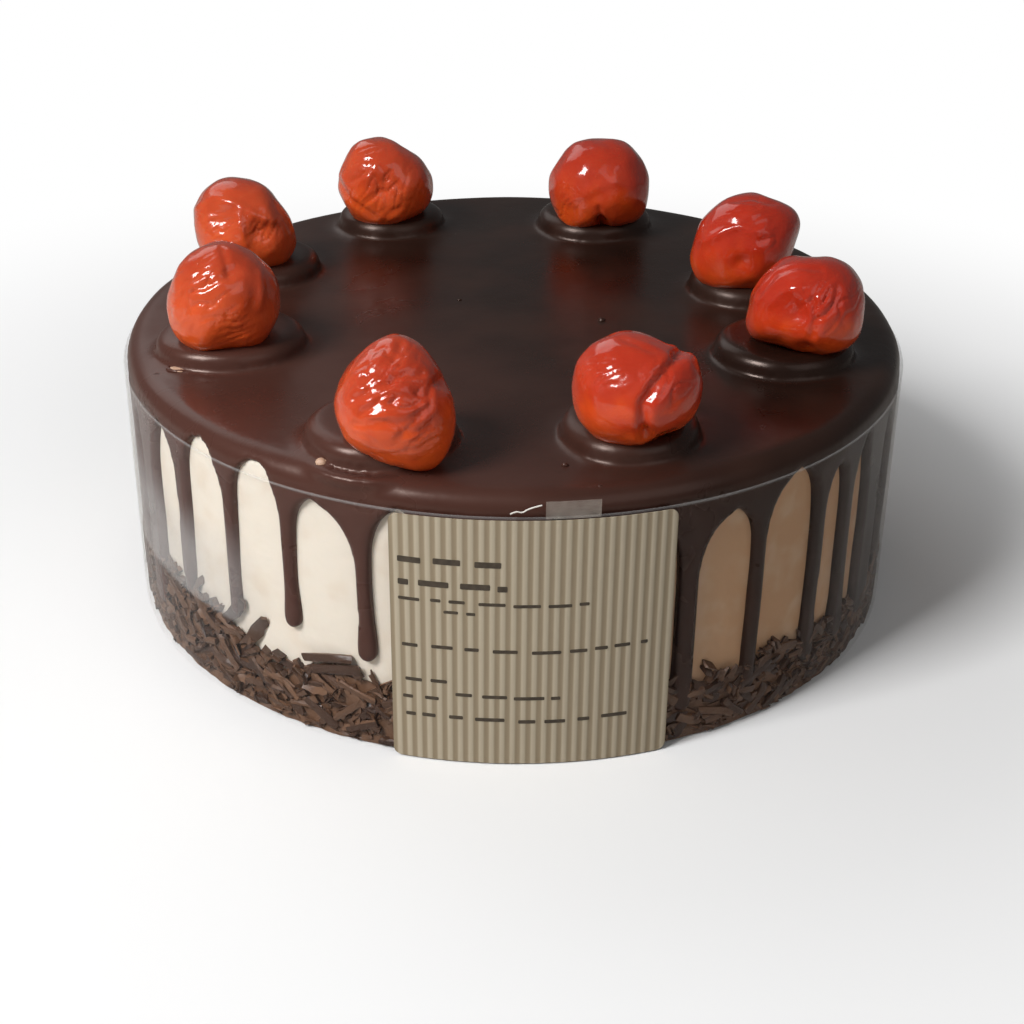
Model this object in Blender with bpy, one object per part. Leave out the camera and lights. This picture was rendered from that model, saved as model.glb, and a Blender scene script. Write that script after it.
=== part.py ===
"""A black forest cake: a cream cake under poured ganache, with candied cherries and a clear collar.

The cake stands on z = 0 with its axis on Z. Azimuths are in degrees, counted from the front (-Y)
towards +X. All lengths are in metres.
"""

import math
import random
from collections import namedtuple

import bmesh
import bpy
from mathutils import Euler, Vector, noise

# Driving dimensions.
COLLAR_RADIUS = 0.0770
COLLAR_HEIGHT = 0.0492
CAKE_HEIGHT = 0.0500
TOTAL_HEIGHT = 0.0530
FILM = 0.0003
GAP = 0.0003
STEPS = 64
SHARP_ANGLE = 40
ROUND_PROFILE = 0.5

# The cream body, and the ganache that lies over it.
GANACHE_THICKNESS = 0.0017
AIR = 0.0004
RIM_RADIUS = COLLAR_RADIUS - FILM - AIR
CAKE_RADIUS = RIM_RADIUS - GANACHE_THICKNESS - GAP
GANACHE_INSIDE = CAKE_RADIUS + GAP
CAKE_EDGE = 0.0012
RIM_ROUND = 0.0042
RIM_BOTTOM = 0.0478

# Drips: a flared root under the rim, a narrow neck and a round bulb at the tip.
Drip = namedtuple("Drip", "azimuth width end bulb")
FLARE = 0.0024
FLARE_FALL = 0.0022
SHAFT_ROWS = 4
TIP_ROWS = 2
TIP_SPREAD = 2.0
TIP_LEAST = 0.04
ACROSS = (-1, -0.5, 0.5, 1)
DRIP_BACK = 0.0015
FRONT_DRIPS = (
    Drip(-63.5, 0.0068, 0.0000, 0.0000),
    Drip(-52.3, 0.0030, 0.0170, 0.0000),
    Drip(-41.0, 0.0025, 0.0175, 0.0002),
    Drip(-30.6, 0.0027, 0.0205, 0.0005),
    Drip(-19.3, 0.0030, 0.0180, 0.0005),
    Drip(-9.5, 0.0040, 0.0250, 0.0006),
    Drip(0.5, 0.0036, 0.0195, 0.0004),
    Drip(11.5, 0.0044, 0.0220, 0.0006),
    Drip(23.5, 0.0045, 0.0000, 0.0000),
    Drip(33.3, 0.0041, 0.0000, 0.0000),
    Drip(45.9, 0.0047, 0.0000, 0.0000),
    Drip(53.7, 0.0038, 0.0000, 0.0000),
    Drip(62.0, 0.0076, 0.0000, 0.0000),
)
BACK_FROM = 72.0
BACK_TO = 289.0
BACK_SPACING = (8.5, 12.0)
BACK_WIDTH = (0.0034, 0.0050)
BACK_END = (0.0050, 0.0300)
BACK_BULB = 0.0006
BACK_SEED = 7
REACH_CHECKS = 4

# Chocolate shavings pressed against the foot of the side.
CRUMB_HEIGHT = 0.0140
CRUMB_SWELL = 0.0018
CRUMB_SWELL_SCALE = 2.5
CRUMB_ROUGH = 0.0011
CRUMB_ROUGH_SCALE = 14
CRUMB_LEVELS = (0.4, 0.8)
CRUMB_SEED = 4
CRUMB_OUTSIDE = RIM_RADIUS - 0.0002
CRUMB_DEPTH = 0.0005
CRUMB_STEPS = 96

# The printed label and the clear tape tab, both on the outside of the collar.
LABEL_FROM = -15.3
LABEL_TO = 20.9
LABEL_CORNER = 0.0015
LABEL_CORNER_SEGMENTS = 3
SHEET = 0.0002
TAPE_FROM = 4.1
TAPE_TO = 10.9
TAPE_TOP = 0.0524
SHEET_STEPS = 12

# Ganache-covered mounds of cream, and the candied cherries that sit in them.
MOUND_HEIGHT = 0.0042
MOUND_ROUND = 0.0030
MOUND_STEPS = 16
Mound = namedtuple("Mound", "azimuth distance radius")
MOUNDS = (
    Mound(-113, 0.0590, 0.0130),
    Mound(-72, 0.0565, 0.0135),
    Mound(-152, 0.0590, 0.0115),
    Mound(161.5, 0.0560, 0.0125),
    Mound(108, 0.0500, 0.0115),
    Mound(70.5, 0.0550, 0.0125),
    Mound(-21.5, 0.0605, 0.0127),
    Mound(21, 0.0575, 0.0120),
)
# Each cherry: its place, its size, how deep it is sunk, how far it narrows upwards, its lean, and
# the direction and depth of its dimple.
Cherry = namedtuple(
    "Cherry", "azimuth distance width height sunk taper lean towards dimple_at dimple"
)
CHERRIES = (
    Cherry(-110.5, 0.0600, 0.0218, 0.0196, 0.0022, 0.10, 8, -60, (-20, 20), 0.10),
    Cherry(-69.5, 0.0580, 0.0217, 0.0212, 0.0026, 0.22, 6, -90, (-30, 30), 0.05),
    Cherry(-150, 0.0575, 0.0214, 0.0192, 0.0022, 0.04, 5, 0, (10, 15), 0.09),
    Cherry(159.5, 0.0525, 0.0225, 0.0196, 0.0026, 0.12, 6, 180, (5, -40), 0.12),
    Cherry(106.5, 0.0490, 0.0226, 0.0192, 0.0026, 0.06, 10, 60, (10, -20), 0.10),
    Cherry(70, 0.0585, 0.0230, 0.0178, 0.0020, 0.00, 4, 90, (-15, 0), 0.12),
    Cherry(-17.5, 0.0655, 0.0206, 0.0238, 0.0040, 0.18, 22, 160, (60, -10), 0.06),
    Cherry(20, 0.0615, 0.0232, 0.0192, 0.0024, 0.06, 8, 45, (40, 35), 0.16),
)
CHERRY_DETAIL = 3
DIMPLE_SPREAD = 0.30
LUMPS = 0.05
LUMP_SCALE = 1.6

# Each piece's look: its colour, its roughness and how much of it light can't pass.
Look = namedtuple("Look", "colour roughness alpha")
LOOKS = {
    "cream": Look((0.80, 0.72, 0.60), 0.55, 1.0),
    "ganache": Look((0.028, 0.014, 0.010), 0.25, 1.0),
    "crumbs": Look((0.050, 0.026, 0.016), 0.60, 1.0),
    "cherry": Look((0.62, 0.045, 0.012), 0.12, 1.0),
    "collar": Look((0.90, 0.90, 0.90), 0.05, 0.15),
    "label": Look((0.33, 0.27, 0.18), 0.60, 1.0),
    "tape": Look((0.90, 0.90, 0.88), 0.10, 0.30),
}


def polar(radius, azimuth, height):
    """The point at this distance from the axis, azimuth and height."""
    angle = math.radians(azimuth)
    return Vector((radius * math.sin(angle), -radius * math.cos(angle), height))


def material(name):
    """The Principled material of this look."""
    look = LOOKS[name]
    result = bpy.data.materials.new(name)
    result.use_nodes = True
    shader = result.node_tree.nodes["Principled BSDF"]
    shader.inputs["Base Color"].default_value = (*look.colour, 1.0)
    shader.inputs["Roughness"].default_value = look.roughness
    shader.inputs["Metallic"].default_value = 0.0
    shader.inputs["Alpha"].default_value = look.alpha
    return result


def finish(name, shape, look=None):
    """Turn a bmesh into a named, smoothly shaded object."""
    bmesh.ops.recalc_face_normals(shape, faces=shape.faces)
    mesh = bpy.data.meshes.new(name)
    shape.to_mesh(mesh)
    shape.free()
    mesh.shade_smooth()
    mesh.set_sharp_from_angle(angle=math.radians(SHARP_ANGLE))
    item = bpy.data.objects.new(name, mesh)
    bpy.context.scene.collection.objects.link(item)
    if look:
        mesh.materials.append(look)
    return item


def disc(radius, low, high, rounding, steps=STEPS, segments=2):
    """A solid disc from low to high with its upper edge rounded."""
    shape = bmesh.new()
    bmesh.ops.create_cone(
        shape, cap_ends=True, segments=steps, radius1=radius, radius2=radius, depth=high - low
    )
    bmesh.ops.translate(shape, verts=shape.verts, vec=(0, 0, (low + high) / 2))
    if rounding:
        middle = (low + high) / 2
        edges = [edge for edge in shape.edges if all(vert.co.z > middle for vert in edge.verts)]
        bmesh.ops.bevel(
            shape,
            geom=edges,
            offset=rounding,
            segments=segments,
            profile=ROUND_PROFILE,
            affect="EDGES",
        )
    return shape


def join_loops(shape, loops, closed):
    """Skin a run of equal vertex loops, as a ring if closed or with end caps if not."""
    following = loops[1:] + loops[:1] if closed else loops[1:]
    for loop, after in zip(loops, following):
        count = len(loop)
        for index in range(count):
            other = (index + 1) % count
            shape.faces.new((loop[index], loop[other], after[other], after[index]))
    if not closed:
        shape.faces.new(loops[0])
        shape.faces.new(reversed(loops[-1]))


def sheet(inside, outside, low, high, start, end, corner):
    """A curved sheet between two azimuths, its four corners rounded."""
    shape = bmesh.new()
    loops = []
    for step in range(SHEET_STEPS + 1):
        azimuth = start + (end - start) * step / SHEET_STEPS
        section = ((inside, low), (outside, low), (outside, high), (inside, high))
        loops.append([shape.verts.new(polar(radius, azimuth, z)) for radius, z in section])
    join_loops(shape, loops, closed=False)
    shape.edges.ensure_lookup_table()
    corners = [
        edge
        for loop in (loops[0], loops[-1])
        for edge in (shape.edges.get(loop[:2]), shape.edges.get(loop[2:]))
    ]
    if corner:
        bmesh.ops.bevel(
            shape,
            geom=corners,
            offset=corner,
            segments=LABEL_CORNER_SEGMENTS,
            profile=ROUND_PROFILE,
            affect="EDGES",
        )
    return shape


def ring(inside, outside, low, high):
    """A plain ring around the axis."""
    shape = bmesh.new()
    loops = []
    for step in range(STEPS):
        azimuth = 360 * step / STEPS
        section = ((inside, low), (outside, low), (outside, high), (inside, high))
        loops.append([shape.verts.new(polar(radius, azimuth, z)) for radius, z in section])
    join_loops(shape, loops, closed=True)
    return shape


def crumb_top(azimuth):
    """How high the shavings reach here: a slow swell and a rough edge."""
    around = polar(1.0, azimuth, 0.0)
    swell = CRUMB_SWELL * noise.noise(around * CRUMB_SWELL_SCALE)
    rough = CRUMB_ROUGH * noise.noise(around * CRUMB_ROUGH_SCALE)
    return CRUMB_HEIGHT + swell + rough


def crumbs():
    """The band of shavings: a ring with a ragged top and a chunky outer face."""
    shape = bmesh.new()
    loops = []
    chance = random.Random(CRUMB_SEED)
    for step in range(CRUMB_STEPS):
        azimuth = 360 * step / CRUMB_STEPS
        top = crumb_top(azimuth)
        out = [CRUMB_OUTSIDE - CRUMB_DEPTH * chance.random() for _ in range(3)]
        section = (
            (GANACHE_INSIDE, 0.0),
            (out[0], 0.0),
            (out[1], top * CRUMB_LEVELS[0]),
            (out[2], top * CRUMB_LEVELS[1]),
            (GANACHE_INSIDE + GANACHE_THICKNESS / 2, top),
            (GANACHE_INSIDE, top - CRUMB_DEPTH),
        )
        loops.append([shape.verts.new(polar(radius, azimuth, z)) for radius, z in section])
    join_loops(shape, loops, closed=True)
    return shape


def all_drips():
    """The front drips as listed, and uneven ones around the back."""
    drips = list(FRONT_DRIPS)
    chance = random.Random(BACK_SEED)
    azimuth = BACK_FROM
    while azimuth < BACK_TO:
        drips.append(
            Drip(azimuth, chance.uniform(*BACK_WIDTH), chance.uniform(*BACK_END), BACK_BULB)
        )
        azimuth += chance.uniform(*BACK_SPACING)
    return drips


def drip_end(drip):
    """The drip's lower end, or just above the shavings where it runs into them."""
    reach = math.degrees(drip.width / CAKE_RADIUS)
    checks = range(-REACH_CHECKS, REACH_CHECKS + 1)
    nearby = [drip.azimuth + reach * check / REACH_CHECKS for check in checks]
    return max(drip.end, max(crumb_top(azimuth) for azimuth in nearby) + 2 * GAP)


def drip_solid(drip):
    """One drip: a strip bent around the side, domed across, with a flared root and a round tip."""
    start = TOTAL_HEIGHT - RIM_ROUND
    end = drip_end(drip)
    tip = drip.width / 2 + drip.bulb
    heights = [start + (end + tip - start) * row / SHAFT_ROWS for row in range(SHAFT_ROWS + 1)]
    turns = [row / TIP_ROWS * math.pi / 2 for row in range(1, TIP_ROWS)]
    heights += [end + tip - tip * math.sin(turn) for turn in turns]
    heights.append(end)
    shape = bmesh.new()
    loops = []
    for height in heights:
        above = height - end
        flare = FLARE * math.exp(-(start - height) / FLARE_FALL)
        bulge = drip.bulb * math.exp(-(((above - tip) / (TIP_SPREAD * tip)) ** 2))
        half = drip.width / 2 + flare + bulge
        fade = math.sqrt(max(TIP_LEAST, 1 - (1 - min(1, above / tip)) ** 2))
        loop = []
        for across in ACROSS:
            rise = GANACHE_THICKNESS * fade * math.sqrt(1 - across * across)
            azimuth = drip.azimuth + math.degrees(across * half * fade / CAKE_RADIUS)
            loop.append(shape.verts.new(polar(GANACHE_INSIDE - GAP + rise, azimuth, height)))
        for across in (ACROSS[-1], ACROSS[0]):
            azimuth = drip.azimuth + math.degrees(across * half * fade / CAKE_RADIUS)
            loop.append(shape.verts.new(polar(GANACHE_INSIDE - DRIP_BACK, azimuth, height)))
        loops.append(loop)
    join_loops(shape, loops, closed=False)
    return shape


def cherry_solid(cherry, grow=0.0):
    """A candied cherry about its own middle: a narrowing ball with a dimple and soft lumps.

    The ball only ever loses material, so a plain one that is grown by a gap clears it.
    """
    shape = bmesh.new()
    bmesh.ops.create_icosphere(shape, subdivisions=CHERRY_DETAIL, radius=1.0)
    turn, rise = cherry.dimple_at
    dimple = polar(math.cos(math.radians(rise)), turn, math.sin(math.radians(rise)))
    seed = Vector((cherry.azimuth, cherry.distance, 0.0))
    for vert in shape.verts:
        way = vert.co.normalized()
        dent = cherry.dimple * math.exp(-(way - dimple).length_squared / DIMPLE_SPREAD)
        lump = LUMPS * (1 + noise.noise(way * LUMP_SCALE + seed)) / 2 * (1 + way.z) / 2
        size = 1.0 if grow else 1.0 - dent - lump
        narrow = 1.0 - cherry.taper * max(0.0, way.z) ** 2
        vert.co.x = way.x * size * narrow * (cherry.width / 2 + grow)
        vert.co.y = way.y * size * narrow * (cherry.width / 2 + grow)
        vert.co.z = way.z * size * (cherry.height / 2 + grow)
    return shape


def place_cherry(item, seat, cherry):
    """Lean a cherry and its seat alike, with the seat's lowest point sunk into the mound."""
    lean = Euler((math.radians(cherry.lean), 0, math.radians(cherry.towards))).to_matrix()
    lowest = min((lean @ vert.co).z for vert in seat.data.vertices)
    floor = TOTAL_HEIGHT + MOUND_HEIGHT - cherry.sunk
    for piece in (item, seat):
        piece.rotation_euler = lean.to_euler()
        piece.location = polar(cherry.distance, cherry.azimuth, floor - lowest)


def cut(item, operation, others, name):
    """Combine an object with all the guides in a collection of their own."""
    group = bpy.data.collections.new(name)
    bpy.context.scene.collection.children.link(group)
    for other in others:
        bpy.context.scene.collection.objects.unlink(other)
        group.objects.link(other)
        other.hide_render = True
        other.display_type = "WIRE"
    modifier = item.modifiers.new(name, "BOOLEAN")
    modifier.operation = operation
    modifier.operand_type = "COLLECTION"
    modifier.collection = group
    modifier.solver = "EXACT"


def build():
    """Make every piece of the cake."""
    looks = {name: material(name) for name in LOOKS}

    finish("cake", disc(CAKE_RADIUS, 0.0, CAKE_HEIGHT, CAKE_EDGE, segments=1), looks["cream"])
    finish("crumbs", crumbs(), looks["crumbs"])

    pour = disc(RIM_RADIUS, RIM_BOTTOM, TOTAL_HEIGHT, RIM_ROUND, segments=3)
    ganache = finish("ganache", pour, looks["ganache"])
    poured = [finish("drip_guide", drip_solid(drip)) for drip in all_drips()]
    for mound in MOUNDS:
        base = TOTAL_HEIGHT - GANACHE_THICKNESS
        shape = disc(mound.radius, base, TOTAL_HEIGHT + MOUND_HEIGHT, MOUND_ROUND, MOUND_STEPS)
        guide = finish("mound_guide", shape)
        guide.location = polar(mound.distance, mound.azimuth, 0.0)
        poured.append(guide)
    cut(ganache, "UNION", poured, "poured")

    inside = disc(GANACHE_INSIDE, -GAP, CAKE_HEIGHT + GAP, CAKE_EDGE, segments=1)
    hollows = [finish("inside_guide", inside)]
    for number, cherry in enumerate(CHERRIES, start=1):
        item = finish(f"cherry_{number}", cherry_solid(cherry), looks["cherry"])
        seat = finish("seat_guide", cherry_solid(cherry, grow=GAP))
        place_cherry(item, seat, cherry)
        hollows.append(seat)
    cut(ganache, "DIFFERENCE", hollows, "hollows")

    collar = ring(COLLAR_RADIUS - FILM, COLLAR_RADIUS, GAP, COLLAR_HEIGHT)
    finish("collar", collar, looks["collar"])
    under = COLLAR_RADIUS + GAP
    over = under + SHEET
    label_top = COLLAR_HEIGHT - GAP
    label = sheet(under, over, GAP, label_top, LABEL_FROM, LABEL_TO, LABEL_CORNER)
    finish("label", label, looks["label"])
    tape = sheet(under, over, label_top + GAP, TAPE_TOP, TAPE_FROM, TAPE_TO, 0.0)
    finish("tape", tape, looks["tape"])


for old in list(bpy.data.objects):
    bpy.data.objects.remove(old)
build()
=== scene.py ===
# %% [markdown]
# # A black forest cake
#
# A cream cake stands in a clear collar. Chocolate ganache was poured over it, so it has a soft
# round rim and long runs down the side. Eight candied cherries sit on small mounds, chocolate
# shavings are pressed against the foot, and a striped label closes the collar at the front.
# The frame gives the real size and place of every piece. Each one is modelled here again, with
# the softness, the folds and the wrinkles that the solids leave out.

# %% Load the frame
import math
import random
from collections import namedtuple

import bmesh
import bpy
from mathutils import Matrix, Vector, noise


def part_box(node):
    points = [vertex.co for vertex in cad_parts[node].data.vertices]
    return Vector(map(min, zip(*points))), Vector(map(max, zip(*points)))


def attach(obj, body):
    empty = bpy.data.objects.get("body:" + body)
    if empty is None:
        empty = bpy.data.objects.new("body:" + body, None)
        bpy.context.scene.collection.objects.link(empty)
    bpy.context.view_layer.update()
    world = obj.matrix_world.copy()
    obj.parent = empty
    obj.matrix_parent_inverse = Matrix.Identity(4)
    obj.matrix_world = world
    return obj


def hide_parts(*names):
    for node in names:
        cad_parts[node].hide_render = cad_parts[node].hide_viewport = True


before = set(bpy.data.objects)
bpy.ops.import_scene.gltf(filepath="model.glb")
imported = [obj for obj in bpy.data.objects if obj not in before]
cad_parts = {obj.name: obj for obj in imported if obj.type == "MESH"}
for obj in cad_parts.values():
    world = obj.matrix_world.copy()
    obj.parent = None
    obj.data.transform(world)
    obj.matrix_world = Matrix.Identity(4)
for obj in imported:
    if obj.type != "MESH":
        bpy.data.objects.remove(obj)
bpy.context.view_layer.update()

ganache_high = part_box("ganache")[1]
collar_low, collar_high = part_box("collar")
MM = 0.001
MOUND_HEIGHT = 4.2 * MM
CAKE_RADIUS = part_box("cake")[1][0]
RIM_RADIUS = ganache_high[0]
COLLAR_RADIUS = collar_high[0]
COLLAR_TOP = collar_high[2]
TOP = ganache_high[2] - MOUND_HEIGHT
print(f"cake radius {CAKE_RADIUS:.4f}, ganache top {TOP:.4f}, collar top {COLLAR_TOP:.4f}")

# %% [markdown]
# ## Working by hand, in code
#
# An operator acts on whatever is selected, so each piece starts from nothing selected. A few
# helpers do what the hand does most: pick points by their place, add a modifier and apply it,
# and put a finished piece down with its normals outside and its place in its mesh.

# %% Helpers for picking, applying and finishing


def start():
    """Leave edit mode and select nothing."""
    if bpy.context.object and bpy.context.object.mode == "EDIT":
        bpy.ops.object.mode_set(mode="OBJECT")
    bpy.ops.object.select_all(action="DESELECT")


def add(primitive, **settings):
    """Add a new piece with this operator, with nothing else selected."""
    start()
    primitive(**settings)
    return bpy.context.object


def hold(*pieces):
    """Select these pieces and make the first one active."""
    start()
    for piece in pieces:
        piece.select_set(True)
    bpy.context.view_layer.objects.active = pieces[0]


def edit(piece, level="VERT", action="DESELECT"):
    """Enter edit mode with nothing selected, or with everything."""
    hold(piece)
    bpy.ops.object.mode_set(mode="EDIT")
    bpy.ops.mesh.select_mode(type=level)
    bpy.ops.mesh.select_all(action=action)


def pick_all():
    """Select the whole mesh in edit mode."""
    bpy.ops.mesh.select_all(action="SELECT")


def turn_faces_out():
    """Make the picked faces point outwards."""
    bpy.ops.mesh.normals_make_consistent(inside=False)


def raise_edges(height):
    """Extrude the picked edges straight up, or down where the height is below zero."""
    bpy.ops.mesh.extrude_edges_move(TRANSFORM_OT_translate={"value": (0, 0, height)})


def pick_edges(piece, test):
    """Select the edges whose two ends pass the test."""
    shape = bmesh.from_edit_mesh(piece.data)
    for edge in shape.edges:
        edge.select_set(test(edge.verts[0].co, edge.verts[1].co))
    bmesh.update_edit_mesh(piece.data)


def pick_faces(piece, test):
    """Select the faces whose normal and middle pass the test."""
    shape = bmesh.from_edit_mesh(piece.data)
    for face in shape.faces:
        face.select_set(test(face.normal, face.calc_center_median()))
    bmesh.update_edit_mesh(piece.data)


def leave():
    """Back to object mode."""
    bpy.ops.object.mode_set(mode="OBJECT")


def modify(piece, kind, **settings):
    """Add a modifier with these settings and apply it."""
    hold(piece)
    modifier = piece.modifiers.new(kind.lower(), kind)
    for name, value in settings.items():
        setattr(modifier, name, value)
    bpy.ops.object.modifier_apply(modifier=modifier.name)


def move_points(piece, change):
    """Move every point of a mesh by a rule, as a sculpting brush would."""
    for vert in piece.data.vertices:
        vert.co = change(vert.co)
    piece.data.update()


def join(name, pieces):
    """Join pieces into one object of this name."""
    hold(*pieces)
    if len(pieces) > 1:
        bpy.ops.object.join()
    piece = bpy.context.object
    piece.name = name
    return piece


def apply_place(piece):
    """Put a piece's place, turn and scale into its mesh."""
    hold(piece)
    bpy.ops.object.transform_apply(location=True, rotation=True, scale=True)


def settle(piece, name, angle=40):
    """Put the place into the mesh, turn the normals outwards and shade smooth."""
    apply_place(piece)
    edit(piece)
    pick_all()
    turn_faces_out()
    leave()
    bpy.ops.object.shade_smooth_by_angle(angle=math.radians(angle))
    piece.name = name
    piece.data.name = name
    print(f"{name}: {len(piece.data.polygons)} faces")
    return piece


def polar(radius, azimuth, height):
    """A point by its distance from the axis, its azimuth from the front, and its height."""
    angle = math.radians(azimuth)
    return Vector((radius * math.sin(angle), -radius * math.cos(angle), height))


def outwards_from(co):
    """The level way out from the cake's axis at a point."""
    return Vector((co.x, co.y, 0)).normalized()


# %% [markdown]
# ## The cream body
#
# Whipped cream was spread round the cake with a palette knife. It shows only as tall fingers
# between the runs of ganache. A disc is extruded upwards in steps, its top edge is bevelled, and
# a soft cloud texture pushes the side in and out by a fraction of a millimetre.

# %% Model the cream body
CREAM_TOP = TOP - 1.5 * MM
CREAM_RADIUS = CAKE_RADIUS + 0.55 * MM
CREAM_LIFTS = 16
CREAM_EDGE = 1.2 * MM
KNIFE_MARK = 14 * MM
KNIFE_DEPTH = 0.5 * MM
HAIR = 0.1 * MM  # near enough to count as touching

cream = add(bpy.ops.mesh.primitive_circle_add, vertices=192, radius=CREAM_RADIUS, fill_type="NGON")
edit(cream, "FACE", "SELECT")
step = (0, 0, CREAM_TOP / CREAM_LIFTS)
for lift in range(CREAM_LIFTS):
    bpy.ops.mesh.extrude_region_move(TRANSFORM_OT_translate={"value": step})
bpy.ops.mesh.select_mode(type="EDGE")
pick_edges(cream, lambda a, b: min(a.z, b.z) > CREAM_TOP - HAIR)
bpy.ops.mesh.bevel(offset=CREAM_EDGE, segments=4, profile=0.5)
leave()
soft = bpy.data.textures.new("soft_cream", "CLOUDS")
soft.noise_scale = KNIFE_MARK
soft.noise_depth = 1
modify(cream, "DISPLACE", texture=soft, strength=KNIFE_DEPTH, mid_level=0.5)
move_points(cream, lambda co: Vector((co.x, co.y, max(co.z, 0.0))))
settle(cream, "cream_body")

# %% [markdown]
# ## The poured ganache: its runs
#
# Ganache that is poured on a cold cake sets as it runs. Each run starts wide under the rim,
# narrows to a neck and ends in a round drop, and the cream shows between two runs under a tall
# arch. The side is modelled unrolled: a narrow grid for each run, its rows set to the width that
# the arches leave there, extruded to a slab and bevelled. The runs are wrapped round afterwards.

# %% Say where the runs and the arches are
RUN_START = TOP - 4.2 * MM
RUN_BACK = -1.2 * MM
RUN_FRONT = 1.55 * MM
ARCH_HEIGHT = 9 * MM
MIDDLE = 0.5

# Azimuth, neck width, drop width and lower end of each run, then the top of the arch after it and
# where across the arch its highest point is. Widths and heights are in millimetres.
Run = namedtuple("Run", "azimuth neck drop end arch lean")
FRONT_RUNS = (
    (-63.5, 6.8, 6.8, 6.0, 48.2, 0.50),
    (-52.3, 3.4, 2.4, 15.5, 50.7, 0.45),
    (-41.0, 2.5, 2.5, 17.5, 51.0, 0.45),
    (-30.6, 2.7, 3.7, 20.0, 46.8, 0.34),
    (-19.3, 2.8, 3.8, 17.0, 48.0, 0.50),
    (-9.5, 3.8, 4.4, 25.0, 46.5, 0.50),
    (0.5, 3.4, 4.0, 19.5, 48.0, 0.50),
    (11.5, 4.0, 4.8, 22.0, 46.0, 0.50),
    (23.7, 4.2, 4.2, 6.0, 44.6, 0.62),
    (34.6, 3.0, 3.6, 6.0, 48.2, 0.60),
    (46.4, 3.4, 4.4, 6.0, 45.5, 0.55),
    (53.9, 3.8, 5.0, 6.0, 47.2, 0.60),
    (62.5, 8.0, 8.6, 6.0, 46.0, 0.50),
)
chance = random.Random(11)
runs = [Run(*values) for values in FRONT_RUNS]
azimuth = 72.5
while azimuth < 288:
    neck = chance.uniform(2.6, 4.6)
    drop = neck + chance.uniform(0.2, 1.2)
    end = chance.choice((6.0, 6.0, chance.uniform(13, 30)))
    runs.append(Run(azimuth, neck, drop, end, chance.uniform(44.5, 48.5), MIDDLE))
    azimuth += chance.uniform(8.6, 12.0)
print(f"{len(runs)} runs")

# %% Model the runs unrolled
ROW = 1.1 * MM
RUN_EDGE = 1.0 * MM
FLARE_FROM = 30 * MM
FLARE_OVER = 20 * MM


def arc_length(degrees):
    """Distance along the side for an azimuth."""
    return math.radians(degrees) * CREAM_RADIUS


def half_width(height, neck, reach, arch_top, arch_height):
    """How far a run's edge is from its middle: the arch's outline takes the rest."""
    base = arch_top - arch_height
    if height > arch_top:
        return reach + 0.3 * MM
    if height < base:
        return neck
    open_share = math.sqrt(1 - ((height - base) / arch_height) ** 2)
    return reach - (reach - neck) * open_share


def model_run(number):
    """One run of ganache, flat, with its length along X and the cake's outside towards +Y."""
    this = runs[number]
    before = runs[number - 1]
    after = runs[(number + 1) % len(runs)]
    neck, drop, end = this.neck * MM / 2, this.drop * MM / 2, this.end * MM
    # Gap to the next run, top of the arch there, and this run's share of it, on either side.
    sides = {
        -1: (arc_length((this.azimuth - before.azimuth) % 360), before.arch * MM, 1 - before.lean),
        1: (arc_length((after.azimuth - this.azimuth) % 360), this.arch * MM, this.lean),
    }
    length = RUN_START - end
    rows = max(10, round(length / ROW))
    run = add(bpy.ops.mesh.primitive_grid_add, x_subdivisions=1, y_subdivisions=rows, size=2)
    sway = chance.uniform(-0.5, 0.5) * MM
    for vert in run.data.vertices:
        share = (1 - vert.co.y) / 2
        height = RUN_START - length * share
        above = height - end
        side = 1 if vert.co.x > 0 else -1
        gap, arch, lean = sides[side]
        slim = neck * (1 + 0.5 * max(0.0, (height - FLARE_FROM) / FLARE_OVER) ** 2)
        width = half_width(height, slim, gap * lean, arch, ARCH_HEIGHT * lean / MIDDLE)
        width += (drop - neck) * math.exp(-(((above - 1.4 * drop) / (2.2 * drop)) ** 2))
        if above < drop:
            width *= math.sqrt(max(0.05, 1 - (1 - above / drop) ** 2))
        bend = sway * math.sin(math.pi * min(1, share * 1.3))
        vert.co = Vector((arc_length(this.azimuth) + bend + side * width, RUN_BACK, height))
    edit(run, action="SELECT")
    thickness = RUN_FRONT - RUN_BACK
    bpy.ops.mesh.extrude_region_move(TRANSFORM_OT_translate={"value": (0, thickness, 0)})
    pick_all()
    turn_faces_out()
    bpy.ops.mesh.select_all(action="DESELECT")
    bpy.ops.mesh.select_mode(type="FACE")
    pick_faces(run, lambda normal, middle: normal.y > 0.9)
    bpy.ops.mesh.region_to_loop()
    bpy.ops.mesh.bevel(offset=RUN_EDGE, segments=3, profile=0.5, clamp_overlap=True)
    leave()
    return run


def wrap(co):
    """Roll a flat point round the cake."""
    return polar(CREAM_RADIUS + co.y, math.degrees(co.x / CREAM_RADIUS), co.z)


runs_piece = join("runs", [model_run(number) for number in range(len(runs))])
move_points(runs_piece, wrap)
print(f"runs: {len(runs_piece.data.polygons)} faces")

# %% [markdown]
# ## The poured ganache: top, rim and mounds
#
# The top is one thin lid with a fat, rounded rim. Small mounds of cream under it lift it where
# the cherries sit, with a soft shoulder and a groove round the foot where the ganache pooled.
# Lid, mounds and runs are plain closed shapes that overlap. A voxel remesh melts them into one
# skin, a few smoothing passes round every joint as a warm liquid would, and decimating keeps the
# points where the skin bends.

# %% Model the lid
LIP_BOTTOM = TOP - 3.9 * MM
LID_UNDER = TOP - 1.9 * MM
LID_RADIUS = CREAM_RADIUS - 0.9 * MM
RIM_ROUND = 3.78 * MM

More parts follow.
